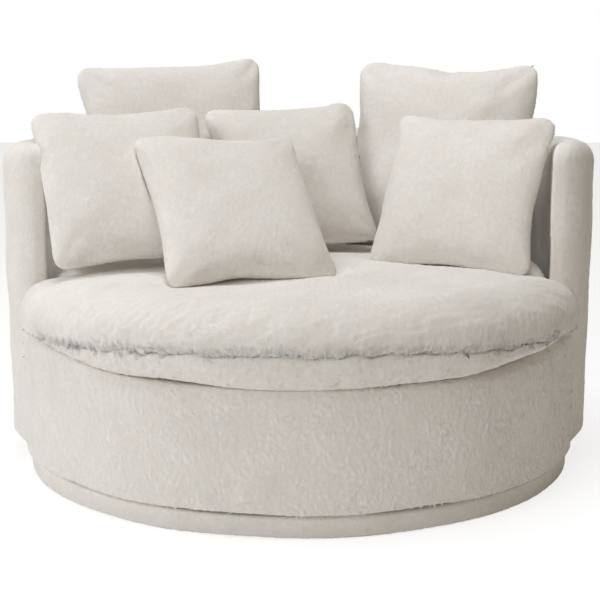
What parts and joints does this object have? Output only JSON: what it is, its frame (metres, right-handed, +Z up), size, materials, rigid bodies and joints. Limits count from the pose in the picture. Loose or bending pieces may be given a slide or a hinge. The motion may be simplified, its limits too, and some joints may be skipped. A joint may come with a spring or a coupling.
{
  "type": "swivel cuddle chair",
  "caption": "Round deep-pile tub chair on a low swivel plinth, with a wrap-round back, a loose T-shaped seat cushion and loose scatter pillows.",
  "frame": {"origin": "on the floor, on the swivel axis", "axes": "+Z up, -Y out of the open front, +X towards the right arm as seen from the front"},
  "size_m": [1.499, 1.478, 1.018],
  "materials": {
    "pile_cloth": "long curly pile, matte",
    "pillow_cloth": "long curly pile, matte",
    "foam": "open-cell foam, matte",
    "fibre_fill": "white fibre filling",
    "plywood": "unfinished plywood",
    "hardboard": "smooth bent hardboard",
    "webbing": "woven elastic",
    "black_cloth": "thin non-woven",
    "zinc_steel": "zinc plated",
    "glide_plastic": "moulded"
  },
  "bodies": {
    "plinth": {"glide_1": "glide_plastic", "glide_2": "glide_plastic", "glide_3": "glide_plastic", "glide_4": "glide_plastic", "glide_5": "glide_plastic", "glide_6": "glide_plastic", "plinth_ring": "plywood", "plinth_cross": "plywood", "plinth_cover": "pile_cloth", "swivel_lower_plate": "zinc_steel", "swivel_ball_race": "zinc_steel"},
    "tub": {"swivel_upper_plate": "zinc_steel", "dust_cover": "black_cloth", "floor_board": "plywood", "front_rib_1": "plywood", "front_rib_2": "plywood", "front_rib_3": "plywood", "rear_rib_1": "plywood", "rear_rib_2": "plywood", "rear_rib_3": "plywood", "rear_rib_4": "plywood", "rear_rib_5": "plywood", "deck_ring": "plywood", "webbing_across_1": "webbing", "webbing_across_2": "webbing", "webbing_across_3": "webbing", "webbing_across_4": "webbing", "webbing_along_1": "webbing", "webbing_along_2": "webbing", "webbing_along_3": "webbing", "webbing_along_4": "webbing", "deck_pad": "foam", "wall_post_1": "plywood", "wall_post_2": "plywood", "wall_post_3": "plywood", "wall_post_4": "plywood", "wall_post_5": "plywood", "wall_post_6": "plywood", "wall_top_rail": "plywood", "wall_outer_panel": "hardboard", "wall_inner_panel": "hardboard", "wall_padding": "foam", "wall_cover": "pile_cloth", "front_panel": "hardboard", "front_padding": "foam", "front_cover": "pile_cloth"},
    "seat_cushion": {"seat_cushion_cover": "pile_cloth", "seat_cushion_core": "foam"},
    "pillow_front_centre": {"pillow_front_centre_cover": "pillow_cloth", "pillow_front_centre_fill": "fibre_fill"},
    "pillow_front_right": {"pillow_front_right_cover": "pillow_cloth", "pillow_front_right_fill": "fibre_fill"},
    "pillow_front_left": {"pillow_front_left_cover": "pillow_cloth", "pillow_front_left_fill": "fibre_fill"},
    "pillow_middle": {"pillow_middle_cover": "pillow_cloth", "pillow_middle_fill": "fibre_fill"},
    "pillow_back_right": {"pillow_back_right_cover": "pillow_cloth", "pillow_back_right_fill": "fibre_fill"},
    "pillow_back_left": {"pillow_back_left_cover": "pillow_cloth", "pillow_back_left_fill": "fibre_fill"}
  },
  "joints": [
    {"name": "swivel", "type": "hinge", "parent": "plinth", "child": "tub", "pos_m": [0, 0, 0.05], "axis": [0, 0, 1], "continuous": true},
    {"name": "seat_cushion_lift", "type": "slide", "parent": "tub", "child": "seat_cushion", "axis": [0, 0, 1], "range_m": [0, 0.5]},
    {"name": "pillow_back_right_lift", "type": "slide", "parent": "seat_cushion", "child": "pillow_back_right", "axis": [0, 0, 1], "range_m": [0, 0.3]},
    {"name": "pillow_front_right_lift", "type": "slide", "parent": "pillow_back_right", "child": "pillow_front_right", "axis": [0, 0, 1], "range_m": [0, 0.5]},
    {"name": "pillow_back_left_lift", "type": "slide", "parent": "pillow_back_right", "child": "pillow_back_left", "axis": [0, 0, 1], "range_m": [0, 0.3]},
    {"name": "pillow_middle_lift", "type": "slide", "parent": "pillow_back_left", "child": "pillow_middle", "axis": [0, 0, 1], "range_m": [0, 0.5]},
    {"name": "pillow_front_left_lift", "type": "slide", "parent": "pillow_middle", "child": "pillow_front_left", "axis": [0, 0, 1], "range_m": [0, 0.5]},
    {"name": "pillow_front_centre_lift", "type": "slide", "parent": "pillow_front_left", "child": "pillow_front_centre", "axis": [0, -0.5, 0.866], "range_m": [0, 0.5]}
  ]
}
